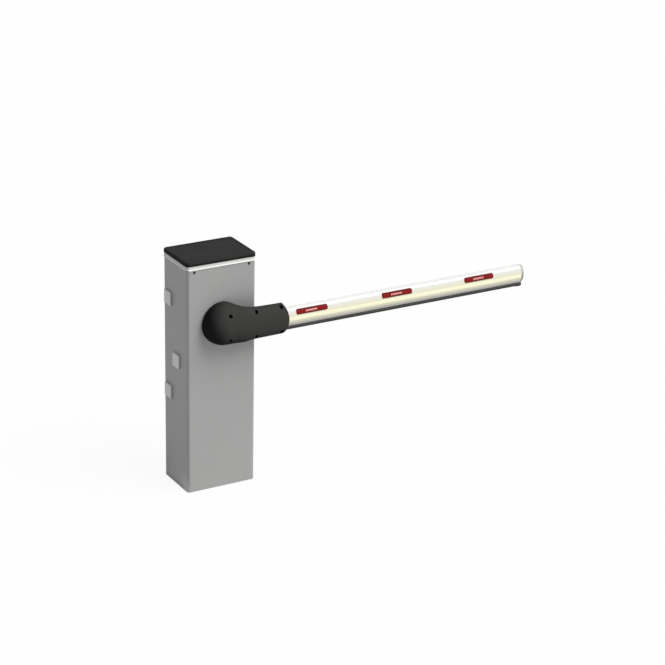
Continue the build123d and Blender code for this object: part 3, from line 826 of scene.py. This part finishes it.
def on_the_boom(flat, shape):
    """The flat places copied to every plate, bent round the boom, with the shape set on each."""
    upright = cell_recipe.node(
        "GeometryNodeTransform", {}, {"Geometry": flat, "Rotation": (math.pi / 2, 0.0, 0.0)}
    )
    copies = cell_recipe.node(
        "GeometryNodeInstanceOnPoints", {}, {"Points": cell_recipe.given("Places"), "Instance": upright}
    )
    points = cell_recipe.node("GeometryNodeRealizeInstances", {}, {"Geometry": copies})
    x, y, z = (cell_recipe.axis(name) for name in "XYZ")
    side = (y - boom_middle.y).apply("SIGN")
    angle = ((z - boom_middle.z) / radius).apply("ARCSINE")
    depth = angle.apply("COSINE") * radius - centre
    bent = cell_recipe.node("ShaderNodeCombineXYZ", {}, {"X": x, "Y": side * depth + boom_middle.y, "Z": z})
    points = cell_recipe.node("GeometryNodeSetPosition", {}, {"Geometry": points, "Position": bent})
    # The shape's own Z turns to the plate's face
    turn = cell_recipe.node("ShaderNodeCombineXYZ", {}, {"X": side * (angle - math.pi / 2)})
    return cell_recipe.node(
        "GeometryNodeInstanceOnPoints", {}, {"Points": points, "Instance": shape, "Rotation": turn}
    )


def raised(sides, top, foot):
    """A low stud with this many sides, and with these radii at its top and its foot."""
    return cell_recipe.node(
        "GeometryNodeMeshCone",
        {},
        {"Vertices": sides, "Radius Top": top, "Radius Bottom": foot, "Depth": relief},
        "Mesh",
    )


# Every second row of cells is moved half a pitch. The plate's rim and the bars' field stay bare
along = cell_recipe.axis("X")
across = cell_recipe.axis("Y")
lattice = grid_places(cell_columns, cell_rows, length - pitch, height - pitch)
odd_row = (across / pitch + cell_rows / 2).apply("ROUND").apply("MODULO", 2.0)
half_a_pitch = cell_recipe.node("ShaderNodeCombineXYZ", {}, {"X": (odd_row - 0.5) * pitch * 0.5})
lattice = cell_recipe.node("GeometryNodeSetPosition", {}, {"Geometry": lattice, "Offset": half_a_pitch})
over_x = (abs(along) - (length / 2 - corner)).apply("MAXIMUM")
over_y = (abs(across) - (height / 2 - corner)).apply("MAXIMUM")
beyond = (over_x * over_x + over_y * over_y) ** 0.5
lattice = without(lattice, beyond > corner - border - pitch / 2)
lattice = without(lattice, (abs(along - shift) < field / 2) * (abs(across) < bar_length / 2 + pitch / 3))
cell = raised(6, pitch * 0.38, pitch * 0.5)

bars = cell_recipe.moved(grid_places(bar_count, 1, field * bar_row_share, 0.0), x=shift)
bar = cell_recipe.node(
    "GeometryNodeTransform",
    {},
    {
        "Geometry": raised(4, bar_length * 0.5, bar_length * 0.55),
        "Scale": (bar_narrowing, 1.0, 1.0),
        "Rotation": (0.0, 0.0, -bar_slant),
    },
)
cell_recipe.finish((on_the_boom(lattice, cell), red_sheeting), (on_the_boom(bars, bar), pale_sheeting))

reflector_places = []
for name in reflector_nodes:
    low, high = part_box(name)
    reflector_places.append(tuple((low + high) / 2))
reflector_cells = cell_recipe.make(
    "reflector_cells",
    reflector_places,
    length=reflector_length,
    height=reflector_height,
    corner=reflector_corner,
    border=reflector_border,
    pitch=cell_pitch,
    relief=cell_height,
    field=bar_field,
    shift=bar_shift,
    bar=bar_height,
    radius=bend_radius,
    centre=bend_centre,
)
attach(reflector_cells, "boom")


# Arm cover: two moulded shells of black plastic with a finer grain than the lid's, screwed together
# along a seam. Its front is painted grey where the light falls, which is painted light, and dirt has
# darkened the seam.
seam_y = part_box("cover_front")[1].y
seam_core = 0.0001
seam_edge = 0.0006

cover, painted_light_facing, grain, roughness = moulded("cover plastic", 0.0009, (0.42, -0.82, 0.40))
seam = 1 - abs(cover.axis("Y") - seam_y).step(seam_core, seam_edge)
# Painted light: the side facing the light is made greyer.
painted_light_grey = cover.mix(painted_light_facing, (0.006, 0.006, 0.006), (0.045, 0.045, 0.043))
cover_plastic = cover.done(
    cover.mix(seam * 0.3, painted_light_grey, (0.004, 0.004, 0.004)),
    roughness,
    grain - seam,
    0.00010,
)
dress(cover_plastic, "cover_front", "cover_back")


# Cover screws: six socket screws at the bottom of their recesses, of the same make as the lid's,
# which hold the two shells together.
cover_screw_nodes = [name for name in nodes if name.startswith("cover_screw")]
cover_head_height = 0.003
cover_screw_places = []
for name in cover_screw_nodes:
    low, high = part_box(name)
    cover_screw_places.append(((low.x + high.x) / 2, low.y + cover_head_height, (low.z + high.z) / 2))
low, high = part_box("cover_screw_pivot_upper")
cover_screws = screw_recipe.make(
    "cover_screws",
    cover_screw_places,
    head_radius=(high.x - low.x) / 2,
    head_height=cover_head_height,
    shank_radius=0.002,
    length=high.y - low.y - cover_head_height,
    socket_radius=0.0021,
)
smooth_round_faces(cover_screws)
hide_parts(*cover_screw_nodes)
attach(cover_screws, "boom")


# Studio: a white floor that keeps the object's soft shadow, a white background, even soft light
# that is a little weaker from the left, and one wide lamp from the front right.
floor_size = 40.0
floor_glow = 0.93
bpy.ops.mesh.primitive_plane_add(size=floor_size)
floor = bpy.context.object
floor.name = "studio_floor"
floor_finish = Finish("studio floor", Specular_IOR_Level=0.0)
floor_tone = floor_finish.noise(0.6, 2.0)
floor.data.materials.append(
    floor_finish.done(
        floor_finish.mix(floor_tone, (0.90, 0.90, 0.90), (0.92, 0.92, 0.92)),
        floor_tone * 0.05 + 0.9,
        floor_tone,
        0.0001,
    )
)


def seen(maker):
    """1 for what the camera, a reflection or a clear piece sees, and 0 for the light itself."""
    rays = ("Is Camera Ray", "Is Glossy Ray", "Is Transmission Ray")
    camera_ray, glossy_ray, clear_ray = (maker.node("ShaderNodeLightPath", {}, {}, ray) for ray in rays)
    return camera_ray.apply("MAXIMUM", glossy_ray).apply("MAXIMUM", clear_ray)


white_glow = floor_finish.node("ShaderNodeEmission", {}, {"Color": (1.0, 1.0, 1.0), "Strength": 1.0})
matt = Signal(floor_finish, floor_finish.shader.outputs[0])
whitened = floor_finish.node(
    "ShaderNodeMixShader",
    {},
    {"Fac": seen(floor_finish) * floor_glow, "Shader": matt, "Shader_001": white_glow},
)
output = floor_finish.tree.nodes["Material Output"]
floor_finish.tree.links.new(whitened.socket, output.inputs["Surface"])
floor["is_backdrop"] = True

world = bpy.data.worlds.new("studio")
bpy.context.scene.world = world
world.use_nodes = True
sky = Maker(world.node_tree)
direction = sky.node("ShaderNodeTexCoord", {}, {}, "Generated")
from_right = sky.node("ShaderNodeSeparateXYZ", {}, {"Vector": direction}, "X")
soft_light = from_right * 0.36 + 0.42
shown = seen(sky)
level = soft_light * (1 - shown) + shown
cool_to_warm = sky.mix(from_right * 0.5 + 0.5, (0.93, 0.98, 1.06), (1.03, 1.0, 0.96))
sky_colour = sky.mix(shown, cool_to_warm, (1.0, 1.0, 1.0))
background = sky.tree.nodes["Background"]
sky.tree.links.new(sky_colour.socket, background.inputs["Color"])
sky.tree.links.new(level.socket, background.inputs["Strength"])

lamp = bpy.data.lights.new("key_light", "SUN")
lamp.energy = 2.3
lamp.angle = math.radians(40.0)
key_light = bpy.data.objects.new("key_light", lamp)
bpy.context.scene.collection.objects.link(key_light)
key_light.rotation_mode = "QUATERNION"
key_light.rotation_quaternion = Vector((0.35, -0.42, 0.70)).to_track_quat("Z", "Y")


# Camera: a long lens to the left of the object, in front of it and above it, held with a slight roll,
# at the photograph's angle.
camera_place = Vector((-4.13485, -8.17676, 4.33565))
camera_yaw = math.radians(-30.105)
camera_pitch = math.radians(21.749)
camera_roll = math.radians(1.2024)
ahead = Vector(
    (
        -math.sin(camera_yaw) * math.cos(camera_pitch),
        math.cos(camera_yaw) * math.cos(camera_pitch),
        -math.sin(camera_pitch),
    )
)
level_right = Vector((math.cos(camera_yaw), math.sin(camera_yaw), 0.0))
level_up = level_right.cross(ahead)
right = level_right * math.cos(camera_roll) + level_up * math.sin(camera_roll)
up = level_up * math.cos(camera_roll) - level_right * math.sin(camera_roll)
lens = bpy.data.cameras.new("camera")
lens.lens = 125.1
lens.sensor_width = 36.0
lens.clip_end = 100.0
camera = bpy.data.objects.new("camera", lens)
bpy.context.scene.collection.objects.link(camera)
turn = Matrix((right, up, -ahead)).transposed().to_4x4()
camera.matrix_world = Matrix.Translation(camera_place) @ turn
bpy.context.scene.camera = camera
bpy.context.scene.view_settings.view_transform = "Standard"

low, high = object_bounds()
